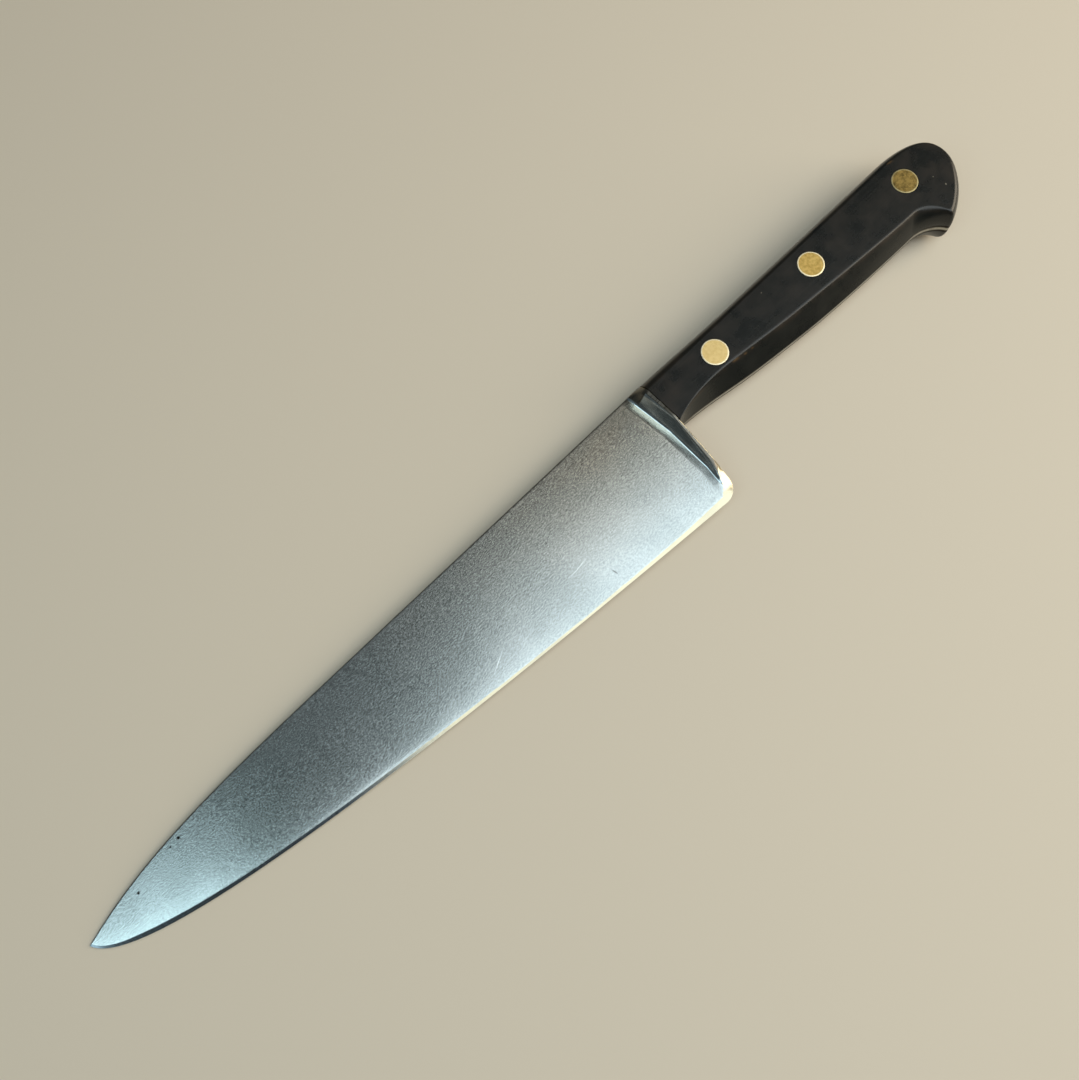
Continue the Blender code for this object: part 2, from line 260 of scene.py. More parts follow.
def satin_steel():
    material, tree, shader, place = new_material("satin_ground_carbon_steel")
    streaks = grind_streaks(tree, place)
    clouds = patina_clouds(tree, place)
    pitted = add_node(tree, "ShaderNodeMix", {"data_type": "RGBA", 7: colour("#15130f")},
                      {0: marks_mask(tree, place, PITS, SIDE_LEVEL, SIDE_REACH),
                       6: patina_colour(tree, place, streaks, clouds)})
    scratched = add_node(tree, "ShaderNodeMix", {"data_type": "RGBA", 7: colour("#dfe4e5")},
                         {0: marks_mask(tree, place, SCRATCHES, SIDE_LEVEL, SIDE_REACH),
                          6: pitted.outputs[2]})
    tree.links.new(scratched.outputs[2], shader.inputs["Base Color"])
    roughness = add_node(tree, "ShaderNodeMapRange", {1: 0.3, 2: 0.7, 3: 0.18, 4: 0.26}, {0: streaks})
    tree.links.new(roughness.outputs[0], shader.inputs["Roughness"])
    tree.links.new(grind_relief(tree, place, streaks, clouds), shader.inputs["Normal"])
    across = add_node(tree, "ShaderNodeVectorTransform",
                      {"vector_type": "VECTOR", "convert_from": "OBJECT", "convert_to": "WORLD",
                       "Vector": (0, 1, 0)})
    tree.links.new(across.outputs[0], shader.inputs["Tangent"])
    shader.inputs["Metallic"].default_value = 1
    shader.inputs["Anisotropic"].default_value = 0.2
    return material


satin = satin_steel()
print("blade finish:", satin.name, "with", len(PITS), "pits and", len(SCRATCHES), "scratches")

# %% [markdown]
# ## The other steel finishes
# The same steel carries four more finishes. The bolster and the fillet in front of it are polished, so
# they mirror light and dark in clear bands. The cutting edge and the heel corner are freshly honed on a
# stone: bright, with fine scratches across the edge; towards the tip the bevel is painted darker and cooler,
# a painted dark reflection. The strip of tang between the scales is brushed, with dark grime beside the
# wood and round the butt that also paints the shade in the seam. The land behind the bolster is stained
# dark by hands and water; the top of the spine and the spine end of the bolster's slope take the same
# dark steel as painted shade.

# %% Where the tang and the edge are darker
# In front of this stretch the honed bevel is painted darker, as a painted dark reflection.
PAINTED_DARK_EDGE_FROM, PAINTED_DARK_EDGE_TO = 66 * MM, 102 * MM
SEAM_FROM, SEAM_TO = 0.35 * MM, 0.75 * MM
BUTT_FROM, BUTT_TO = 300 * MM, 308 * MM
BEAK_TOP_FROM, BEAK_TOP_TO = -15 * MM, -13 * MM


def seam_grime_and_shade(tree, place, base):
    """Darken the tang beside the wood and round the butt: partly grime of stain and oil, partly painted shade
    in the seam.
    """
    axes = add_node(tree, "ShaderNodeSeparateXYZ", links={"Vector": place})
    off_middle = add_node(tree, "ShaderNodeMath", {"operation": "ABSOLUTE"}, {0: axes.outputs[2]})
    beside = add_node(tree, "ShaderNodeMapRange", {1: SEAM_FROM, 2: SEAM_TO}, {0: off_middle.outputs[0]})
    at_butt = add_node(tree, "ShaderNodeMapRange", {1: BUTT_FROM, 2: BUTT_TO}, {0: axes.outputs[0]})
    above_beak = add_node(tree, "ShaderNodeMapRange", {1: BEAK_TOP_FROM, 2: BEAK_TOP_TO},
                          {0: axes.outputs[1]})
    butt = add_node(tree, "ShaderNodeMath", {"operation": "MULTIPLY"},
                    {0: at_butt.outputs[0], 1: above_beak.outputs[0]})
    grime_and_shade = add_node(tree, "ShaderNodeMath", {"operation": "MAXIMUM"},
                     {0: beside.outputs[0], 1: butt.outputs[0]})
    # One dark colour serves both as grime and as painted shade in the seam against the scales.
    return add_node(tree, "ShaderNodeMix", {"data_type": "RGBA", 7: colour("#231f19")},
                    {0: grime_and_shade.outputs[0], 6: base})


def tip_bevel_painted_dark(tree, place, base):
    """Darken and cool the bevel over the front third of the blade: a painted dark reflection of what the
    bevel mirrors there.
    """
    axes = add_node(tree, "ShaderNodeSeparateXYZ", links={"Vector": place})
    bright_towards_heel = add_node(tree, "ShaderNodeMapRange", {1: PAINTED_DARK_EDGE_FROM, 2: PAINTED_DARK_EDGE_TO}, {0: axes.outputs[0]})
    return add_node(tree, "ShaderNodeMix", {"data_type": "RGBA", 6: colour("#79838a")},
                    {0: bright_towards_heel.outputs[0], 7: base})


print("edge finish turns dull in front of", round(PAINTED_DARK_EDGE_TO / MM), "mm")

# %% Polished, honed, brushed and stained steel, the stained one also used as painted shade
SCRATCH_DEPTH = 0.01 * MM


def worn_steel(name, hex_clean, hex_stain, roughness, grain, stain_size, stain_share, bump_strength,
               wear=None):
    """Steel with a grain stretched by the cell size in mm, stains of a second colour and some wear."""
    material, tree, shader, place = new_material(name)
    stretched = add_node(tree, "ShaderNodeMapping", {"Scale": [1 / (size * MM) for size in grain]},
                         {"Vector": place})
    scratches = add_node(tree, "ShaderNodeTexNoise", {"Scale": 1, "Detail": 3, "Roughness": 0.6},
                         {"Vector": stretched.outputs[0]})
    stains = add_node(tree, "ShaderNodeTexNoise", {"Scale": 1 / (stain_size * MM), "Detail": 4,
                                                   "Roughness": 0.6}, {"Vector": place})
    share = add_node(tree, "ShaderNodeMapRange", {1: 0.45, 2: 0.72, 3: 0, 4: stain_share},
                     {0: stains.outputs[0]})
    base = add_node(tree, "ShaderNodeMix", {"data_type": "RGBA", 6: colour(hex_clean),
                                            7: colour(hex_stain)}, {0: share.outputs[0]})
    if wear:
        base = wear(tree, place, base.outputs[2])
    tree.links.new(base.outputs[2], shader.inputs["Base Color"])
    spread = add_node(tree, "ShaderNodeMapRange", {1: 0.3, 2: 0.7, 3: roughness * 0.75, 4: roughness * 1.3},
                      {0: scratches.outputs[0]})
    tree.links.new(spread.outputs[0], shader.inputs["Roughness"])
    bump = add_node(tree, "ShaderNodeBump", {"Strength": bump_strength, "Distance": SCRATCH_DEPTH},
                    {"Height": scratches.outputs[0]})
    tree.links.new(bump.outputs[0], shader.inputs["Normal"])
    shader.inputs["Metallic"].default_value = 1
    return material


polished = worn_steel("polished_bolster_steel", "#c3cdd2", "#6f6a62", roughness=0.2,
                      grain=(1.2, 2.5, 1.2), stain_size=5, stain_share=0.5, bump_strength=0.35)
honed = worn_steel("honed_edge_steel", "#b9b29a", "#9a9587", roughness=0.17,
                   grain=(0.25, 2, 2), stain_size=12, stain_share=0.35, bump_strength=0.2, wear=tip_bevel_painted_dark)
brushed = worn_steel("brushed_tang_steel", "#aeaca4", "#5f584d", roughness=0.36,
                     grain=(3, 0.3, 0.3), stain_size=4, stain_share=0.7, bump_strength=0.4, wear=seam_grime_and_shade)
# Dark stained steel: a stain on the land, painted shade on the spine end of the slope and on the spine.
stained = worn_steel("stained_and_shaded_bolster_steel", "#6b6861", "#3d3a33", roughness=0.3,
                     grain=(1.5, 0.4, 1.5), stain_size=3, stain_share=0.8, bump_strength=0.5)
print("steel finishes:", polished.name, honed.name, brushed.name, stained.name)

# %% [markdown]
# ## From points to a solid
# Every piece is drawn as points in millimetres and faces between them. One function turns these into an
# object in the frame: it merges points that fall together, such as those of a closed tip, turns the
# faces outwards, and shades the surface smooth except across clear edges.

# %% Object helper
SMOOTH_ANGLE = math.radians(32)


def make_object(name, points, faces, materials, slots=None):
    """A mesh object in the frame from points in mm on the knife's axes, with outward faces."""
    mesh = bpy.data.meshes.new(name)
    mesh.from_pydata([knife_axes @ (Vector(p) * MM) for p in points], [], faces)
    for material in materials:
        mesh.materials.append(material)
    if slots is not None:
        mesh.polygons.foreach_set("material_index", slots)
    bm = bmesh.new()
    bm.from_mesh(mesh)
    bmesh.ops.remove_doubles(bm, verts=bm.verts, dist=0.002 * MM)
    bmesh.ops.recalc_face_normals(bm, faces=bm.faces)
    bm.to_mesh(mesh)
    bm.free()
    mesh.shade_smooth()
    mesh.set_sharp_from_angle(angle=SMOOTH_ANGLE)
    obj = bpy.data.objects.new(name, mesh)
    bpy.context.collection.objects.link(obj)
    return obj


print("edges sharper than", round(math.degrees(SMOOTH_ANGLE)), "degrees stay crisp")

# %% [markdown]
# ## The blade and bolster
# The smith draws the blade out of the bar, leaves the thick bolster at its end and grinds the sides. The
# result is two mirrored height fields: at each place of the side view the steel has a half thickness.
# A grid of columns (tip to bolster) and rows (edge to spine) carries it, and the columns crowd
# together where the shape turns quickly: at the tip, in the fillet and over the ridge of the bolster.
# The formulas are those of the CAD model, with the fine shapes added: a cutting bevel that widens round
# the heel corner, a belly that rolls over towards the edge, and softened corners along the spine.

# %% Blends


def mix(low, high, amount):
    return low + (high - low) * amount


def soft_min(a, b, width):
    """The smaller of two heights, with the crease between them rounded over a width."""
    overlap = np.maximum(width - np.abs(a - b), 0)
    return np.minimum(a, b) - overlap ** 2 / (4 * width)


print("two equal heights meet, rounded over 1 mm, at:", soft_min(0.0, 0.0, 1.0))

# %% Outline of the blade
SPINE_RISE = 7.7
SPINE_CURVE_LENGTH = 108
SPINE_CURVE_POWER = 4.6
EDGE_DROP = 32.99  # a hair less than in the CAD model, to stay inside its box
EDGE_CURVE_POWER = 0.42
EDGE_CURVE_START = 0.5
HEEL_RADIUS = 5.5
HEEL_LEAN = 0.8
BELLY_AT_BOLSTER = 8.4
CORNER_START = BLADE_LENGTH - HEEL_LEAN - HEEL_RADIUS
SLOPE_STEP = 0.5


def spine_height(x):
    return SPINE_RISE * (1 - np.maximum(0, 1 - x / SPINE_CURVE_LENGTH) ** SPINE_CURVE_POWER)


def edge_line(x):
    """Cutting edge without its round heel corner."""
    start = EDGE_CURVE_START ** EDGE_CURVE_POWER
    full = (BLADE_LENGTH + EDGE_CURVE_START) ** EDGE_CURVE_POWER - start
    return -EDGE_DROP * ((x + EDGE_CURVE_START) ** EDGE_CURVE_POWER - start) / full


def edge_height(x):
    past_corner = np.clip(x - CORNER_START, 0, HEEL_RADIUS)
    return edge_line(x) + HEEL_RADIUS - np.sqrt(HEEL_RADIUS ** 2 - past_corner ** 2)


def rear_line(y):
    """Rear of the bolster and finger guard, which leans forward below the handle."""
    return BLADE_LENGTH - HEEL_LEAN * np.maximum(0, (-BELLY_AT_BOLSTER - y) / (EDGE_DROP - BELLY_AT_BOLSTER))


def edge_distance(x, y, rear):
    """Distance from the sharp outline: up from the edge, radial in the corner, forward from the rear."""
    past = np.maximum(x - CORNER_START, 0)
    above = y - edge_line(x) - HEEL_RADIUS
    reach = rear - CORNER_START
    radial = reach - np.hypot(past, above * reach / HEEL_RADIUS)
    slope = (edge_line(x + SLOPE_STEP) - edge_line(x)) / SLOPE_STEP
    from_edge = (y - edge_line(x)) / np.hypot(1, slope)
    return np.where(past <= 0, from_edge, np.where(above < 0, radial, rear - x))


print("edge at mid blade, mm below the tip:", round(-float(edge_height(100.0)), 1))

# %% [markdown]
# ## How thick the steel is
# Three shapes share the side. The ground side is thin at the edge, swells quickly behind it and tapers
# towards the tip, and a worn knife rolls over a little to its edge. The bolster is as thick as the handle
# down to the belly, and thins to the finger guard at the heel. The bevel is what the stone takes off.

# %% Ground side and spine
SPINE_HALF_AT_HEEL = 1.7
SPINE_HALF_AT_TIP = 0.1
TAPER_POWER = 0.45
GRIND_POWER_AT_TIP = 0.6
GRIND_POWER_AT_HEEL = 0.85
GRIND_POWER_RUN = 150
ROLL = 0.11
ROLL_LENGTH = 2.8
ROLL_START = 10
ROLL_END = 140
ROLL_FADE = 60
EDGE_HALF = 0.03
BEVEL_SLOPE = 0.23
BEVEL_WIDTHS = ((0, 0.25), (12, 0.65), (40, 0.42), (60, 0.4), (150, 0.45), (180, 0.9), (CORNER_START, 1.6))
SPINE_CORNER = 0.3
THICKEST_SHARE = 0.7  # of the spine's half thickness, for the bevel and for the spine's corner


def bevel_width(x):
    return np.interp(x, *zip(*BEVEL_WIDTHS))


def grind_half(x, row):
    """Half thickness of the ground side: row is 0 at the edge and 1 at the spine.

    Towards the tip the side also rolls over to the edge, as worn and rehoned knives do."""
    taper = (np.maximum(x, 0) / BLADE_LENGTH) ** TAPER_POWER
    spine_half = mix(SPINE_HALF_AT_TIP, SPINE_HALF_AT_HEEL, taper)
    behind_edge = np.minimum(EDGE_HALF + BEVEL_SLOPE * bevel_width(x), THICKEST_SHARE * spine_half)
    power = mix(GRIND_POWER_AT_TIP, GRIND_POWER_AT_HEEL, np.minimum(x / GRIND_POWER_RUN, 1))
    edge_roll = ROLL * np.clip((ROLL_END - x) / ROLL_FADE, 0, 1) * np.minimum(x / ROLL_START, 1)
    distance = row * (spine_height(x) - edge_height(x))
    rolled = edge_roll * (1 - np.exp(-distance / ROLL_LENGTH) - row)
    return mix(behind_edge, spine_half, row ** power) + rolled


def spine_rounding(x, y, half):
    """The half thickness again, with the corner beside the spine rounded."""
    radius = np.minimum(SPINE_CORNER, half * THICKEST_SHARE)
    inside = np.clip(radius - (spine_height(x) - y), 0, radius)
    return half - radius + np.sqrt(radius ** 2 - inside ** 2)


print("half thickness at the spine, mid blade, mm:", round(float(grind_half(100.0, 1.0)), 2))

# %% Bolster and fillet
GUARD_HALF_AT_HEEL = 0.7
GUARD_HALF_AT_BELLY = 5.9
BOLSTER_ROUNDING = 3.2
FILLET_RUN = 2.3
FILLET_ENTRY = 0.2
FILLET_FIRST_SLOPE = 0.27
FILLET_GAIN = 0.07


def bolster_half(y):
    """Half thickness of the bolster's rim: full at the handle, thin at the heel, round at the spine."""
    guard = mix(GUARD_HALF_AT_HEEL, GUARD_HALF_AT_BELLY, (y + EDGE_DROP) / (EDGE_DROP - BELLY_AT_BOLSTER))
    inset = np.maximum(0, (SPINE_RISE - y) / BOLSTER_ROUNDING)
    rounded = mix(SPINE_HALF_AT_HEEL, BOLSTER_HALF, np.sqrt(inset))
    return np.minimum(np.minimum(BOLSTER_HALF, guard), rounded)


def fillet_rise(reach):
    """How far the hollow fillet has risen: a quick entry, a long gentle hollow, then straight on."""
    inside = np.clip(reach, 0, FILLET_RUN)
    entry = FILLET_FIRST_SLOPE * (inside - FILLET_ENTRY * (1 - np.exp(-inside / FILLET_ENTRY)))
    last_slope = FILLET_FIRST_SLOPE + FILLET_GAIN * FILLET_RUN
    return entry + FILLET_GAIN * inside ** 2 / 2 + np.maximum(reach - FILLET_RUN, 0) * last_slope


print("the fillet rises by", round(float(fillet_rise(FILLET_RUN)), 2), "mm before the bolster's slope")

# %% Honed bevel
BEVEL_FADE_START = 2.5
BEVEL_FADE = 9.5
REAR_CHAMFER = 0.14
REAR_CHAMFER_SLOPE = 0.8


def bevel_half(x, y, distance):
    """Half thickness that the honed bevel leaves at a distance from the sharp outline.

    Above the heel corner it climbs the guard and turns into a fine chamfer behind the bolster."""
    above = np.clip((y - edge_line(x) - BEVEL_FADE_START) / BEVEL_FADE, 0, 1)
    climb = above * above * (3 - 2 * above) * np.clip(x - CORNER_START, 0, 1)
    rim = mix(EDGE_HALF, bolster_half(y) - REAR_CHAMFER, climb)
    return rim + mix(BEVEL_SLOPE, REAR_CHAMFER_SLOPE, climb) * distance


print("the bevel's edge is", EDGE_HALF * 2, "mm thick and rises by", BEVEL_SLOPE)

# %% [markdown]
# ## The grid of the blade
# The side is drawn as columns and rows of points. Columns crowd at the tip, near the heel and over the
# bolster. At the very end they follow the sine of an angle, because the round heel corner turns steep
# there. Rows crowd in the honed bevel and in the rounded corner of the spine, where the surface turns.

# %% Columns and rows
BLADE_COLUMNS = 170
HEEL_COLUMNS = 36
SLOPE_COLUMNS = 16
LAND_COLUMNS = 16
HEEL_SHARE = 0.955
ROWS_IN_BEVEL = (0, 0.25, 0.5, 0.75, 0.92, 1, 1.08, 1.25, 1.5, 1.75, 2)
ROWS_IN_SPINE_CORNER = (0.35, 0.65, 0.85, 1)
BEVEL_SHARE_MAX = 0.3
CORNER_SHARE_MAX = 0.15
MAIN_ROWS = 46
ROW_CROWDING = 1.25


def column_positions():
    """Columns: 0 to 1 is the blade, 1 to 2 the slope of the bolster, 2 to 3 its land."""
    blade = HEEL_SHARE * (1 - np.cos(np.linspace(0, math.pi / 2, BLADE_COLUMNS)))
    heel = np.linspace(HEEL_SHARE, 1, HEEL_COLUMNS + 1)[1:]
    slope = 1 + np.linspace(0, 1, SLOPE_COLUMNS + 1)[1:]
    land = 2 + np.sin(np.linspace(0, math.pi / 2, LAND_COLUMNS + 1))[1:]
    return np.concatenate((blade, heel, slope, land))


def row_positions(column):
    """Rows, for each column: 0 at the edge and 1 at the spine."""
    rough_x = np.minimum(column[:, 0], 1) * CORNER_START
    width = bevel_width(rough_x)[:, None]
    height = np.maximum(spine_height(rough_x) - edge_line(rough_x), 1e-6)[:, None]
    near = np.array(ROWS_IN_BEVEL)[None, :] * np.minimum(width / height, BEVEL_SHARE_MAX)
    top = 1 - np.minimum(SPINE_CORNER * 1.1 / height, CORNER_SHARE_MAX)
    graded = 1 - (1 - np.linspace(0, 1, MAIN_ROWS)) ** ROW_CROWDING
    main = mix(near[:, -1:], top, graded[None, 1:])
    corner = mix(top, 1, np.array(ROWS_IN_SPINE_CORNER)[None, :])
    return np.concatenate((near, main, corner), axis=1)


columns_drawn = column_positions()[:, None]
rows_drawn = row_positions(columns_drawn)
print("grid of one side:", rows_drawn.shape[0], "columns by", rows_drawn.shape[1], "rows")

# %% Points of one side
LAND_WIDTHS = ((-33, 2.4), (-28, 2.2), (-23, 1.4), (-8, 0.8), (0, 1.1), (SPINE_RISE, 1.5))
SLOPE_AT_SPINE = 3.4
SLOPE_AT_HEEL = 0.7
SLOPE_POWER = 1.6
RIDGE_SOFTNESS = 0.8
HONED_TOLERANCE = 0.004


def side_grid(column, row):
    """Points of the left side, as an array of columns by rows, and where the bevel shows."""
    drawn_y = mix(-EDGE_DROP, SPINE_RISE, row)
    rear = rear_line(drawn_y)
    ridge = rear - np.interp(drawn_y, *zip(*LAND_WIDTHS))
    run = mix(SLOPE_AT_HEEL, SLOPE_AT_SPINE, row)
    x = np.where(column <= 1, column * (ridge - run),
                 np.where(column <= 2, ridge - run * (2 - column), mix(ridge, rear, column - 2)))
    y = mix(edge_height(x), spine_height(x), row)
    ground = grind_half(x, row)
    prominence = np.maximum(bolster_half(y) - ground, 0) / (BOLSTER_HALF - SPINE_HALF_AT_HEEL)
    ground = ground + np.sqrt(prominence) * fillet_rise(x - (ridge - run - FILLET_RUN))
    slope = mix(ground, bolster_half(y), np.maximum(column - 1, 0) ** SLOPE_POWER)
    half = soft_min(slope, np.broadcast_to(bolster_half(y), slope.shape), RIDGE_SOFTNESS)
    half = np.where(column <= 1, ground, half)
    bevel = bevel_half(x, y, np.maximum(edge_distance(x, y, rear), 0))
    z = np.minimum(half, bevel)
    z = np.where(column <= 1, spine_rounding(x, y, z), z)
    return np.stack(np.broadcast_arrays(x, y, z), axis=-1), bevel <= half + HONED_TOLERANCE


side, honed_here = side_grid(columns_drawn, rows_drawn)
print("thickest point of the bolster, mm:", round(2 * float(side[..., 2].max()), 2))

# %% Finishes and faces
SATIN, POLISHED, HONED, BRUSHED, STAINED_AND_SHADED = range(5)
SHADED_SPINE_END_FROM = 4.2
SHADED_SLOPE_FROM = 1.2
SPINE_ROWS = len(ROWS_IN_SPINE_CORNER) - 1


def finish_slots(grid, column, honed_here):
    """Finish of each face between two columns and two rows."""
    # The land is stained; the spine end of the slope and the rounded spine rows get the dark steel as painted
    # shade.
    stain_and_shade_here = (column > 2) | ((column > SHADED_SLOPE_FROM) & (grid[..., 1] > SHADED_SPINE_END_FROM))
    stain_and_shade_here[:, -SPINE_ROWS:] = True
    slot = np.where(column > 1, POLISHED, SATIN)
    slot = np.where(stain_and_shade_here, STAINED_AND_SHADED, slot)
    return np.where(honed_here, HONED, slot)[1:, 1:]


def blade_object(grid, column, honed_here):
    """Both sides of the blade from one, closed along the edge, the spine and the rear."""
    columns, rows = grid.shape[:2]
    slots = finish_slots(grid, column, honed_here)
    points = np.concatenate((grid.reshape(-1, 3), (grid * (1, 1, -1)).reshape(-1, 3)))
    faces, face_slots = [], []
    other = columns * rows
    for start in (0, other):
        for i in range(columns - 1):
            for j in range(rows - 1):
                a = start + i * rows + j
                faces.append((a, a + 1, a + rows + 1, a + rows))
                face_slots.append(int(slots[i, j]))
    for i in range(columns - 1):
        a, b = i * rows, i * rows + rows - 1
        faces += [(a, a + rows, other + a + rows, other + a), (b, b + rows, other + b + rows, other + b)]
        # The spine's top strip gets the dark steel as painted shade; the tang's strip is brushed.
        face_slots += [HONED, STAINED_AND_SHADED if column[i + 1, 0] <= 1 else BRUSHED]
    for j in range(rows - 1):
        a = (columns - 1) * rows + j
        faces.append((a, a + 1, other + a + 1, other + a))
        face_slots.append(BRUSHED)
    return make_object("blade_forging", points, faces, (satin, polished, honed, brushed, stained), face_slots)


blade = blade_object(side, columns_drawn, honed_here)
print("blade and bolster:", len(blade.data.polygons), "faces")

# %% [markdown]
# ## The outlines of the handle
# The tang and the scales are filed to one outline. Its knots are those of the CAD model: place, heading
# and how far the curve runs straight before and after each. A smooth curve through them is sampled every
# few tenths of a millimetre, with the same share along each stretch on both outlines, so that a point
# of the inner outline, where the flat face starts, belongs to a point of the outer one.

# %% Knots of the two outlines
TANG_OUTLINE = (
    (202.4, 7.4, 0, 0, 12),          # spine, at the bolster
    (236.0, 6.7, 0, 12, 22),         # middle of the spine
    (300.0, 6.7, 0, 22, 11),         # end of the straight spine
    (319.8, -4.0, -90, 8, 4),        # butt
    (315.1, -14.0, -133, 4, 4),      # back of the beak
    (304.7, -20.8, -160, 3.5, 0.5),  # tip of the beak
    (303.5, -20.4, 120, 0.5, 3),     # front of the beak
    (293.5, -15.3, 180, 4.5, 10),    # belly in front of the beak
    (250.0, -13.75, 175, 12, 9),     # middle of the belly
    (224.0, -10.9, 171, 7, 7),       # belly at the front rivet
    (202.4, -8.4, 179, 8, 0),        # belly, at the bolster
)
FACE_OUTLINE = (
    (202.4, 4.3, 0, 0, 12),
    (236.0, 4.2, 0, 12, 22),
    (300.0, 4.2, 0, 22, 10),
    (317.6, -4.0, -90, 7, 3.5),
    (313.0, -12.4, -133, 3.5, 3),
    (305.0, -18.1, -158, 3, 0.5),
    (303.9, -17.2, 112, 0.5, 2.2),
    (296.0, -11.5, 180, 4, 10),
    (250.0, -8.7, 176, 12, 9),
    (224.0, -6.0, 175, 7, 6),
    (202.4, -7.9, 198, 8, 0),
)
CHAMFERED = (0, 0, 0, 0, 0, 0, 0, 0.7, 1, 1, 0.8)
print("knots:", len(TANG_OUTLINE), "on the tang,", len(FACE_OUTLINE), "on the face")

# %% Smooth outlines
OUTLINE_SPACING = 0.45
FEWEST_STEPS = 5


def knot_handles(knot):
    x, y, heading, before, after = knot
    point = Vector((x, y, 0))
    direction = Vector((math.cos(math.radians(heading)), math.sin(math.radians(heading)), 0))
    return point, point - direction * before, point + direction * after


def stretch_steps():
    """How many segments each stretch between two knots gets."""
    spans = [(knot_handles(end)[0] - knot_handles(start)[0]).length
             for start, end in zip(TANG_OUTLINE, TANG_OUTLINE[1:])]
    return [max(FEWEST_STEPS, round(span / OUTLINE_SPACING)) for span in spans]


def smooth_outline(knots):
    """Points of the open curve through the knots, from the spine round the butt to the belly."""
    points = []
    for start, end, steps in zip(knots, knots[1:], stretch_steps()):
        first, _, leaving = knot_handles(start)
        last, arriving, _ = knot_handles(end)
        points += interpolate_bezier(first, leaving, arriving, last, steps + 1)[:-1]
    points.append(knot_handles(knots[-1])[0])
    return np.array(points)[:, :2]


tang_outline = smooth_outline(TANG_OUTLINE)
face_outline = smooth_outline(FACE_OUTLINE)
print("handle outline:", len(tang_outline), "points")

# %% [markdown]
# ## Lofted and turned bodies
# Two ways of making a body are enough for the handle. A loft stacks rings of equal length and closes the
# two ends: the tang and the scales. A lathe turns a profile of radii and heights about an axis: the
# rivets, and the drills that cut their holes. A body may then be joined to another, or cut from it.

# %% Loft


def stack_rings(name, rings, materials):
    """A closed body from rings of equal length, with a flat cap at each end."""
    count = len(rings[0])
    points = np.concatenate(rings)
    faces = []
    for level in range(len(rings) - 1):
        for i in range(count):
            j = (i + 1) % count
            a, b = level * count, (level + 1) * count
            faces.append((a + i, a + j, b + j, b + i))
    faces.append(tuple(range(count)))
    faces.append(tuple(range(len(points) - count, len(points))))
    return make_object(name, points, faces, materials)


print("a loft needs rings of equal length, such as two of", len(tang_outline), "points")

# %% Lathe
ROUND_STEPS = 96


def turned(name, profile, centre, materials, slots=None, tilt_above=math.inf):
    """A body turned from a (radius, height) profile that starts and ends on the axis.

    What lies farther out than tilt_above follows the slope of the handle's face."""
    points, faces, face_slots = [], [], []
    angles = np.linspace(0, math.tau, ROUND_STEPS, endpoint=False)
    for radius, height in profile:
        if radius == 0:
            points.append((*centre, height))
        else:
            points += [(centre[0] + radius * math.cos(a), centre[1] + radius * math.sin(a), height)
                       for a in angles]
    points = [(x, y, z + math.copysign(face_half(x) - face_half(centre[0]), z) if abs(z) > tilt_above else z)
              for x, y, z in points]
    start = 0
    for index, ((near, _), (far, _)) in enumerate(zip(profile, profile[1:])):
        next_start = start + (1 if near == 0 else ROUND_STEPS)
        for i in range(ROUND_STEPS):
            j = (i + 1) % ROUND_STEPS
            if near == 0:
                faces.append((start, next_start + i, next_start + j))
            elif far == 0:
                faces.append((start + i, start + j, next_start))
            else:
                faces.append((start + i, start + j, next_start + j, next_start + i))
            face_slots.append(slots[index] if slots else 0)
        start = next_start
    return make_object(name, points, faces, materials, face_slots)


print("turned bodies have", ROUND_STEPS, "points round, one every", 360 / ROUND_STEPS, "degrees")

# %% Carving


def carve(target, tool, operation):
    """Join or cut the target with a tool object, which is then removed."""
    modifier = target.modifiers.new(tool.name, "BOOLEAN")
    modifier.operation = operation
    modifier.solver = "EXACT"
    modifier.object = tool
    depsgraph = bpy.context.evaluated_depsgraph_get()
    carved = bpy.data.meshes.new_from_object(target.evaluated_get(depsgraph))
    target.modifiers.clear()
    target.data = carved
    carved.set_sharp_from_angle(angle=SMOOTH_ANGLE)
    bpy.data.objects.remove(tool)


# %% [markdown]
# ## The tang and its rivet holes
# Behind the bolster the forging runs on through the handle as a plain slab 3 mm thick, the full tang. It
# shows as a thin bright line between the scales. It is extruded from the outline, joined to the bolster
# with a boolean, and drilled for the three rivets.

# %% Tang, joined and drilled
TANG_HALF = 1.5
TANG_INSIDE_BOLSTER = 3
TANG_CORNER = 0.12
RIVET_CENTRES = {"front": (223.7, -0.95), "middle": (262.9, -1.65), "butt": (302.2, -2.95)}
TUBE_RADIUS = 2.5
HOLE_CLEARANCE = 0.05
DRILL_BEYOND = 1


def shrunk(outline, inset):
    """The closed outline moved inwards by an inset."""
    ahead = np.roll(outline, -1, axis=0)
    behind = np.roll(outline, 1, axis=0)
    along = ahead - behind
    along /= np.linalg.norm(along, axis=1)[:, None]
    return outline + inset * np.stack((along[:, 1], -along[:, 0]), axis=1)


def tang_object():
    front = BLADE_LENGTH - TANG_INSIDE_BOLSTER
    corners = np.array(((front, tang_outline[-1, 1]), (front, tang_outline[0, 1])))
    outline = np.concatenate((tang_outline, corners))
    inner = shrunk(outline, TANG_CORNER)
    rings = []
    for ring, height in ((inner, -TANG_HALF), (outline, -TANG_HALF + TANG_CORNER),
                         (outline, TANG_HALF - TANG_CORNER), (inner, TANG_HALF)):
        rings.append(np.column_stack((ring, np.full(len(ring), height))))
    return stack_rings("tang_slab", rings, (brushed,))


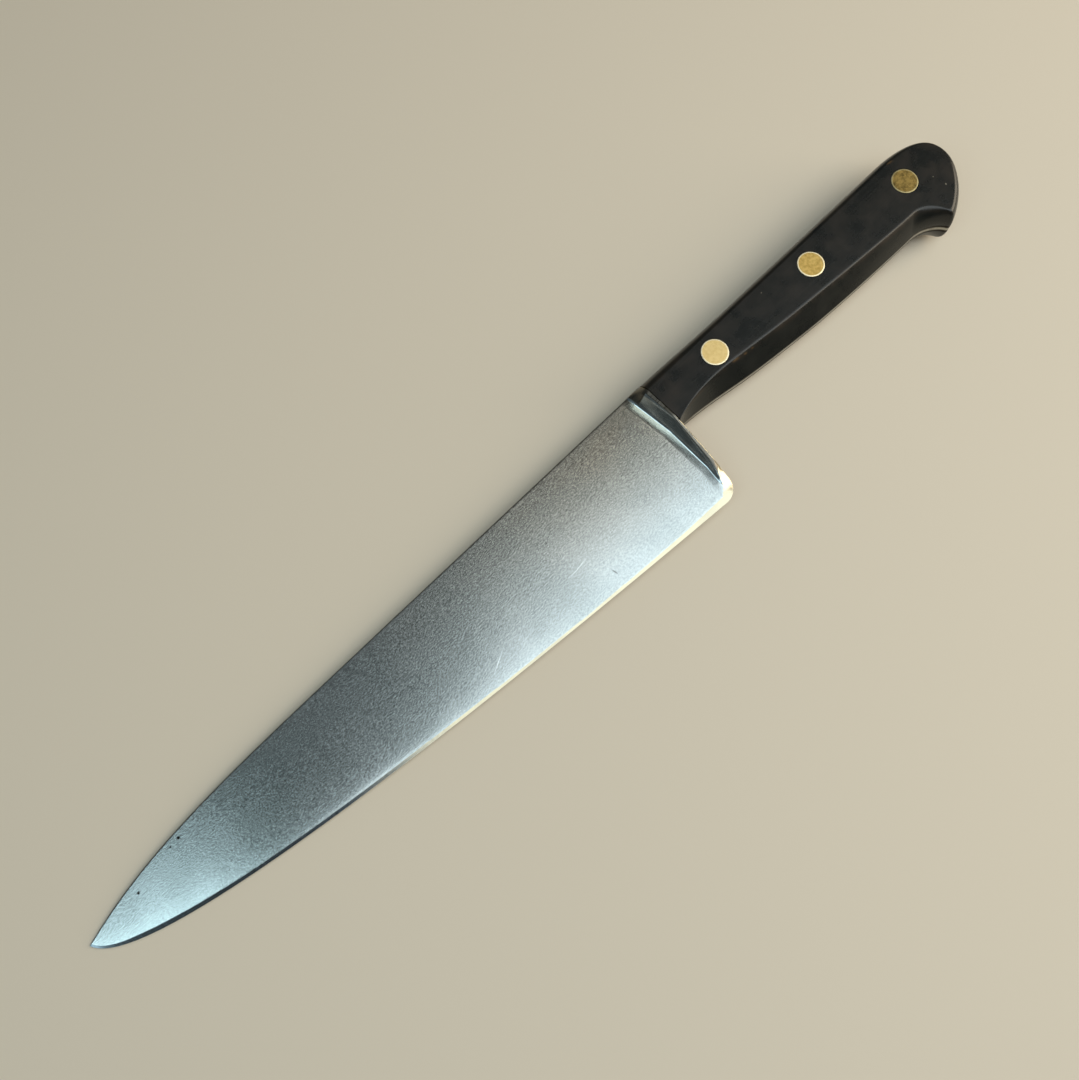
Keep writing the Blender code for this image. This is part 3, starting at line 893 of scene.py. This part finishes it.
carve(blade, tang_object(), "UNION")
for place, centre in RIVET_CENTRES.items():
    reach = TANG_HALF + DRILL_BEYOND
    bore = TUBE_RADIUS + HOLE_CLEARANCE
    drill = turned("tang_drill", ((0, reach), (bore, reach), (bore, -reach), (0, -reach)), centre, (brushed,))
    carve(blade, drill, "DIFFERENCE")
print("forging with its tang:", len(blade.data.polygons), "faces")

# %% [markdown]
# ## Ebonised wood
# The scales are a close-grained hardwood, blackened with iron stain and oil and then polished by hands.
# What the eye gets: a green-black that is satin on the flat faces, with faint grain lines along the
# handle, browner wood where the stain has worn off at corners, and small pale nicks. Wood is a
# dielectric with an IOR near 1.46, and oiled and hand-worn it has a roughness near 0.3. The grain is a
# stretched noise about 0.5 mm across and 14 mm long.

# %% Grain and stain of the wood
GRAIN_ACROSS = 0.5 * MM
GRAIN_ALONG = 14 * MM
# Marks on the left scale, as on the blade: places where the stain has gone, and small pale nicks.
BARE_WOOD = ((226.3, -6.6, 1.5, 0.4, -10), (229.6, -7.1, 0.7, 0.26, -12), (232.2, -7.3, 0.6, 0.26, -10),
             (303.8, 4.0, 1.5, 0.4, -12))
NICKS = ((309.9, -12.0, 0.35, 0.2, 60), (309.1, -7.85, 0.18, 0.16, 0), (246.2, 2.2, 0.3, 0.08, 30))
BARE_LEVEL, BARE_REACH = 6.4, 3
NICK_LEVEL, NICK_REACH = 7, 1


def wood_grain(tree, place):
    """Fine lines along the handle, as a value around 0.5."""
    stretched = add_node(tree, "ShaderNodeMapping",
                         {"Scale": (1 / GRAIN_ALONG, 1 / GRAIN_ACROSS, 1 / GRAIN_ACROSS)}, {"Vector": place})
    grain = add_node(tree, "ShaderNodeTexNoise", {"Scale": 1, "Detail": 4, "Roughness": 0.6,
                                                  "Distortion": 0.3}, {"Vector": stretched.outputs[0]})
    return grain.outputs[0]


def wood_colour(tree, place, grain, clouds):
    """Stained wood, browner where hands have rubbed it, bare in a few places, and nicked."""
    edges = add_node(tree, "ShaderNodeAttribute", {"attribute_name": "worn"})
    stain_share = add_node(tree, "ShaderNodeMapRange", {1: 0.3, 2: 0.75}, {0: grain})
    stained = add_node(tree, "ShaderNodeMix", {"data_type": "RGBA", 6: colour("#0a0c0b"),
                                               7: colour("#131511")}, {0: stain_share.outputs[0]})
    rubbed_places = add_node(tree, "ShaderNodeMapRange", {1: 0.38, 2: 0.66}, {0: clouds})
    rubbed = add_node(tree, "ShaderNodeMath", {"operation": "MULTIPLY"},
                      {0: edges.outputs["Fac"], 1: rubbed_places.outputs[0]})
    worn = add_node(tree, "ShaderNodeMix", {"data_type": "RGBA", 7: colour("#33271c")},
                    {0: rubbed.outputs[0], 6: stained.outputs[2]})
    bare_lines = add_node(tree, "ShaderNodeMapRange", {1: 0.35, 2: 0.6}, {0: grain})
    patchy = add_node(tree, "ShaderNodeMath", {"operation": "MULTIPLY"},
                      {0: marks_mask(tree, place, BARE_WOOD, BARE_LEVEL, BARE_REACH),
                       1: bare_lines.outputs[0]})
    bare = add_node(tree, "ShaderNodeMix", {"data_type": "RGBA", 7: colour("#554128")},
                    {0: patchy.outputs[0], 6: worn.outputs[2]})
    nicked = add_node(tree, "ShaderNodeMix", {"data_type": "RGBA", 7: colour("#9a9384")},
                      {0: marks_mask(tree, place, NICKS, NICK_LEVEL, NICK_REACH), 6: bare.outputs[2]})
    return nicked.outputs[2]


print("wood grain in mm:", round(GRAIN_ALONG / MM), "by", round(GRAIN_ACROSS / MM, 1))

# %% The blackened wood of the scales
WEAR_SIZE = 7 * MM
DENT_SPACING = 2.6 * MM
DENT_DEPTH = 0.04 * MM


def wood_relief(tree, place, grain):
    """Bumps from the grain, with a small dent here and there."""
    specks = add_node(tree, "ShaderNodeTexVoronoi", {"Scale": 1 / DENT_SPACING, "Randomness": 1},
                      {"Vector": place})
    dents = add_node(tree, "ShaderNodeMapRange", {1: 0.0, 2: 0.22, 3: 0.4, 4: 0.0},
                     {0: specks.outputs["Distance"]})
    height = add_node(tree, "ShaderNodeMath", {"operation": "SUBTRACT"}, {0: grain, 1: dents.outputs[0]})
    bump = add_node(tree, "ShaderNodeBump", {"Strength": 0.35, "Distance": DENT_DEPTH},
                    {"Height": height.outputs[0]})
    return bump.outputs[0]


def ebonised_wood(name):
    material, tree, shader, place = new_material(name)
    grain = wood_grain(tree, place)
    clouds = add_node(tree, "ShaderNodeTexNoise", {"Scale": 1 / WEAR_SIZE, "Detail": 4, "Roughness": 0.6},
                      {"Vector": place})
    tree.links.new(wood_colour(tree, place, grain, clouds.outputs[0]), shader.inputs["Base Color"])
    roughness = add_node(tree, "ShaderNodeMapRange", {1: 0.3, 2: 0.7, 3: 0.24, 4: 0.34},
                         {0: clouds.outputs[0]})
    tree.links.new(roughness.outputs[0], shader.inputs["Roughness"])
    tree.links.new(wood_relief(tree, place, grain), shader.inputs["Normal"])
    shader.inputs["IOR"].default_value = 1.46
    return material


wood = ebonised_wood("ebonised_hardwood")
print("scale finish:", wood.name)

# %% [markdown]
# ## The handle scales
# A scale is sawn flat, riveted on, and filed down to the tang with it. On the back, the side is rounded
# over to the flat face. On the belly it is a plain chamfer with a crisp line where it meets the face,
# and the chamfer narrows towards the bolster. So each ring of the loft is drawn twice, once on a round
# section and once on a straight one, and the two are mixed by the share of chamfer at that place.

# %% Rings of a scale
TANG_SEAM = 0.04
FRONT_SEAM = 0.06
SCALE_RINGS = 22
CRISP_EDGE = 0.07
FACE_RINGS = (1.03, 1.08, 1.16, 1.3)


def chamfer_share():
    """For each outline point, how far the side of the scale is a straight chamfer."""
    steps = stretch_steps()
    at_knot = np.concatenate(((0,), np.cumsum(steps)))
    share = np.interp(np.arange(at_knot[-1] + 1), at_knot, CHAMFERED)
    return share * share * (3 - 2 * share)


def scale_rings(side):
    """Rings from the tang to the flat face, and a few more on the face itself."""
    share = chamfer_share()
    rings = []
    for level in (*np.linspace(0, 1, SCALE_RINGS), *FACE_RINGS):
        turn = min(level, 1) * math.pi / 2
        inset = mix(1 - math.cos(turn) if level < 1 else level, level, share)
        height = mix(math.sin(turn), soft_min(np.float64(level), np.float64(1), CRISP_EDGE), share)
        ring = mix(tang_outline, face_outline, inset[:, None])
        x = np.maximum(ring[:, 0], BLADE_LENGTH + FRONT_SEAM)
        z = mix(TANG_HALF + TANG_SEAM, face_half(x), height)
        rings.append(np.column_stack((x, ring[:, 1], side * z)))
    return rings


print("a scale has", len(scale_rings(1)), "rings")

# %% Scales, lofted and drilled
RIVET_HEAD_RADIUS = 3.97
RIVET_HEAD_DEPTH = 2
DRILL_ABOVE = BOLSTER_HALF + 4
DRILL_BELOW = -1


def scale_object(name, side, material):
    scale = stack_rings(name, scale_rings(side), (material,))
    for centre in RIVET_CENTRES.values():
        seat = face_half(centre[0]) - RIVET_HEAD_DEPTH - HOLE_CLEARANCE
        head = RIVET_HEAD_RADIUS + HOLE_CLEARANCE
        shank = TUBE_RADIUS + HOLE_CLEARANCE
        profile = ((0, DRILL_ABOVE), (head, DRILL_ABOVE), (head, seat), (shank, seat),
                   (shank, DRILL_BELOW), (0, DRILL_BELOW))
        drill = turned(name + "_drill", [(r, z * side) for r, z in profile], centre, (material,))
        carve(scale, drill, "DIFFERENCE")
    return scale


scale_left = scale_object("scale_left_wood", 1, wood)
scale_right = scale_object("scale_right_wood", -1, wood)
print("scales:", [len(scale.data.polygons) for scale in (scale_left, scale_right)], "faces")

# %% [markdown]
# ## Where hands wear the wood
# Hands rub the stain off where the wood stands out: at the corner of the face, at the round butt, and on
# the spine side behind the bolster. Each point of the mesh stores how exposed it is, and the wood's
# material reads that value under the name worn.

# %% Wear of the scales
CORNER_AT, CORNER_REACH = 0.93, 0.12  # shares of the half thickness
BUTT_WEAR_FROM, BUTT_WEAR_RUN = 300, 20
FRONT_WEAR_RUN = 12
FRONT_WEAR_ABOVE = 2


def mark_wear(obj):
    """Store how exposed each point is, for the stain to wear off there: corners, front and butt."""
    to_drawing = knife_axes.inverted()
    values = []
    for vert in obj.data.vertices:
        x, y, z = (to_drawing @ vert.co) / MM
        flatness = abs(z) / face_half(x)
        corner = 1 - min(1, abs(flatness - CORNER_AT) / CORNER_REACH)
        butt = max(0.0, (x - BUTT_WEAR_FROM) / BUTT_WEAR_RUN)
        front = max(0.0, 1 - (x - BLADE_LENGTH) / FRONT_WEAR_RUN) if y > FRONT_WEAR_ABOVE else 0.0
        values.append(min(1.0, max(0.55 * corner, 0.5 * butt, 0.6 * front)))
    attribute = obj.data.attributes.new("worn", "FLOAT", "POINT")
    attribute.data.foreach_set("value", values)


for scale in (scale_left, scale_right):
    mark_wear(scale)
print("wear is stored for", [len(scale.data.vertices) for scale in (scale_left, scale_right)], "points")

# %% [markdown]
# ## Rivet brass
# The rivets are brass, driven flush and sanded with the wood. What the eye gets: a pale gold satin with
# fine brushing across the head, inside a narrow bright rim, which is a painted highlight: a ring of paler
# brass. The butt rivet looks older: dull and mottled in the middle, with a painted rim that is paler but
# not bright. Brass is metallic 1 with a yellow base, and sanded it has a roughness near 0.45.

# %% Brushed and mottled brass
BRUSH_ACROSS = 0.16 * MM
BRUSH_ALONG = 2.5 * MM
BRUSH_DEPTH = 0.012 * MM
BRUSH_DIRECTION = 35
MOTTLE_SIZE = 1.1 * MM


def rivet_brass(name, hex_clean, hex_dull, dull_share):
    material, tree, shader, place = new_material(name)
    stretched = add_node(tree, "ShaderNodeMapping",
                         {"Rotation": (0, 0, math.radians(BRUSH_DIRECTION)),
                          "Scale": (1 / BRUSH_ALONG, 1 / BRUSH_ACROSS, 1 / BRUSH_ACROSS)}, {"Vector": place})
    brush = add_node(tree, "ShaderNodeTexNoise", {"Scale": 1, "Detail": 3}, {"Vector": stretched.outputs[0]})
    mottle = add_node(tree, "ShaderNodeTexNoise", {"Scale": 1 / MOTTLE_SIZE, "Detail": 4, "Roughness": 0.65},
                      {"Vector": place})
    share = add_node(tree, "ShaderNodeMapRange", {1: 0.4, 2: 0.65, 3: 0, 4: dull_share},
                     {0: mottle.outputs[0]})
    base = add_node(tree, "ShaderNodeMix", {"data_type": "RGBA", 6: colour(hex_clean), 7: colour(hex_dull)},
                    {0: share.outputs[0]})
    tree.links.new(base.outputs[2], shader.inputs["Base Color"])
    spread = add_node(tree, "ShaderNodeMapRange", {1: 0.3, 2: 0.7, 3: 0.4, 4: 0.54}, {0: brush.outputs[0]})
    tree.links.new(spread.outputs[0], shader.inputs["Roughness"])
    bump = add_node(tree, "ShaderNodeBump", {"Strength": 0.4, "Distance": BRUSH_DEPTH},
                    {"Height": brush.outputs[0]})
    tree.links.new(bump.outputs[0], shader.inputs["Normal"])
    shader.inputs["Metallic"].default_value = 1
    return material


# The two rim finishes are painted highlights: paler brass in a ring round each head.
highlight_rim_brass = rivet_brass("rim_brass_painted_highlight", "#fff3d2", "#ead7a2", 0.3)
bright_brass = rivet_brass("brushed_rivet_brass", "#f0d596", "#cfab60", 0.35)
aged_highlight_rim_brass = rivet_brass("aged_rim_brass_painted_highlight", "#b9ad84", "#94885c", 0.6)
worn_brass = rivet_brass("worn_rivet_brass", "#d8b970", "#a98a45", 0.7)
dull_brass = rivet_brass("mottled_rivet_brass", "#a0884f", "#56492b", 0.9)
print("rivet finishes:", highlight_rim_brass.name, bright_brass.name, worn_brass.name, dull_brass.name,
      aged_highlight_rim_brass.name)

# %% [markdown]
# ## The rivets
# A cutler's rivet is two turned pieces: a tube with a blind bore, and a pin that is driven into it. The
# heads lie flush in the scales. Both are turned bodies, with a hair of rounding on the rim of the head.

# %% Tubes and pins
TUBE_BORE_RADIUS = 1.9
TUBE_BORE_TOP = 3
TUBE_END = 3.4
PIN_RADIUS = 1.6
PIN_END = 2.6
HEAD_RECESS = 0.03
RIM_ROUND = 0.12
RIM_ROUND_STEPS = 5
# Width of the paler ring of brass that paints the highlight on the rim.
HIGHLIGHT_RIM_WIDTH = 0.4


def rivet_object(name, centre, side, below_head, rim, middle):
    top = face_half(centre[0]) - HEAD_RECESS
    under = top - RIVET_HEAD_DEPTH
    rounding = [(RIVET_HEAD_RADIUS - RIM_ROUND * (1 - math.sin(a)), top - RIM_ROUND * (1 - math.cos(a)))
                for a in np.linspace(0, math.pi / 2, RIM_ROUND_STEPS)]
    head = [(0, top), (RIVET_HEAD_RADIUS - HIGHLIGHT_RIM_WIDTH, top), *rounding, (RIVET_HEAD_RADIUS, under)]
    profile = head + below_head(under)
    slots = [1] + [0] * (len(profile) - 2)
    return turned(name, [(r, z * side) for r, z in profile], centre, (rim, middle), slots,
                  tilt_above=top - 1.1 * RIM_ROUND)


def tube_below(under):
    return [(TUBE_RADIUS, under), (TUBE_RADIUS, -TUBE_END), (TUBE_BORE_RADIUS, -TUBE_END),
            (TUBE_BORE_RADIUS, TUBE_BORE_TOP), (0, TUBE_BORE_TOP)]


def pin_below(under):
    return [(PIN_RADIUS, under), (PIN_RADIUS, -PIN_END), (0, -PIN_END)]


# Each rivet gets a paler rim finish, a painted highlight, and a finish for the middle of its head.
FINISHES = {"front": (highlight_rim_brass, bright_brass), "middle": (highlight_rim_brass, worn_brass),
            "butt": (aged_highlight_rim_brass, dull_brass)}
rivets = {}
for place, centre in RIVET_CENTRES.items():
    rim, middle = FINISHES[place]
    rivets["rivet_tube_" + place] = rivet_object("rivet_head_tube_" + place, centre, 1, tube_below,
                                                 rim, middle)
    rivets["rivet_pin_" + place] = rivet_object("rivet_head_pin_" + place, centre, -1, pin_below,
                                                rim, middle)
print("rivets:", sorted(rivets))

# %% [markdown]
# ## Riding on the frame
# Nothing on a knife moves, so every piece rides on the one body, root. Each stands for its CAD node,
# which it hides; the slot of the record listed beside it is not used here.

# %% Pieces, nodes and slots
pieces = {"blade": (blade, "carbon_steel"), "scale_left": (scale_left, "ebonised_wood"),
          "scale_right": (scale_right, "ebonised_wood")}
for node, rivet in rivets.items():
    pieces[node] = (rivet, "rivet_brass")
for node, (piece, slot) in pieces.items():
    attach(piece, "root")
    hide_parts(node)
print(len(pieces), "pieces ride on root")

# %% [markdown]
# ## The studio
# The knife lies on a plain pale floor. Polished and satin steel show what is around them, so the lights
# are large soft boxes. A cool white key in two parts hangs above the edge side: its far border falls
# across the blade and lets it darken towards the spine. A warm window light beyond the butt catches the
# honed edge, and a long cool one beyond the tip lights the fillet. The room itself is dim, which keeps
# the slope of the bolster deep.

# %% Soft boxes


def soft_box(name, place, aim, size, hex_colour, watts, turn=0):
    """A rectangular light with its sides in metres, turned about its own direction by some degrees."""
    data = bpy.data.lights.new(name, "AREA")
    data.shape = "RECTANGLE"
    data.size, data.size_y = size
    data.color = colour(hex_colour)[:3]
    data.energy = watts
    light = bpy.data.objects.new(name, data)
    light.location = place
    towards = (Vector(aim) - Vector(place)).to_track_quat("-Z", "Y")
    light.rotation_euler = (towards @ Quaternion((0, 0, 1), math.radians(turn))).to_euler()
    bpy.context.collection.objects.link(light)
    return light


soft_box("key_soft_box", place=(0.33, -0.357, 0.8), aim=(0.33, -0.357, 0), size=(0.54, 0.855),
         hex_colour="#edf6f9", watts=3.45)
soft_box("key_side_soft_box", place=(0.02, -0.228, 0.8), aim=(0.02, -0.228, 0), size=(0.34, 0.5),
         hex_colour="#edf6f9", watts=1.18, turn=24.8)
soft_box("window_soft_box", place=(1.15, -0.65, 0.7), aim=(0, 0, 0), size=(1.2, 1.2),
         hex_colour="#fff0d8", watts=21)
soft_box("cool_soft_box", place=(-0.655, 0.03, 0.8), aim=(-0.655, 0.03, 0), size=(0.7, 0.24),
         hex_colour="#d6f0f6", watts=1.7)

# %% Floor and room
FLOOR_SIZE = 3.0

bpy.ops.mesh.primitive_plane_add(size=FLOOR_SIZE)
floor = bpy.context.object
floor.name = "studio_floor"
paper, _, paper_shader, _ = new_material("pale_paper_floor")
paper_shader.inputs["Base Color"].default_value = colour("#cfc6b6")
paper_shader.inputs["Roughness"].default_value = 0.85
floor.data.materials.append(paper)

world = bpy.data.worlds.new("studio_room")
world.use_nodes = True
world.node_tree.nodes["Background"].inputs["Color"].default_value = colour("#959b9a")
world.node_tree.nodes["Background"].inputs["Strength"].default_value = 0.3
bpy.context.scene.world = world
bpy.context.scene.view_settings.view_transform = "Standard"
print("floor:", FLOOR_SIZE, "m square, in", paper.name)

# %% [markdown]
# ## The camera
# The camera looks down on the knife from a third of a metre, almost along the normal of the blade, and
# rolled so that the knife lies along the diagonal with its tip at the lower left. A 40 mm lens on a
# 36 mm sensor gives that near, slightly steep perspective. It is placed in the knife's own axes.

# %% Camera
CAMERA_AT = (88.15, -65.30, 312.74)
CAMERA_FORWARD = (0.19677, 0.18861, -0.96214)
CAMERA_UP = (0.67603, 0.68464, 0.27247)
LENS_MM, SENSOR_MM = 40, 36

camera = bpy.data.objects.new("camera", bpy.data.cameras.new("camera"))
bpy.context.collection.objects.link(camera)
forward = Vector(CAMERA_FORWARD).normalized()
right = forward.cross(Vector(CAMERA_UP)).normalized()
up = right.cross(forward)
looking = Matrix((right, up, -forward)).transposed().to_4x4()
camera.matrix_world = knife_axes @ Matrix.Translation(Vector(CAMERA_AT) * MM) @ looking
camera.data.sensor_width = SENSOR_MM
camera.data.lens = LENS_MM
camera.data.clip_start = 0.01
bpy.context.scene.camera = camera
print("camera height above the floor, mm:", round(camera.matrix_world.translation.z / MM))
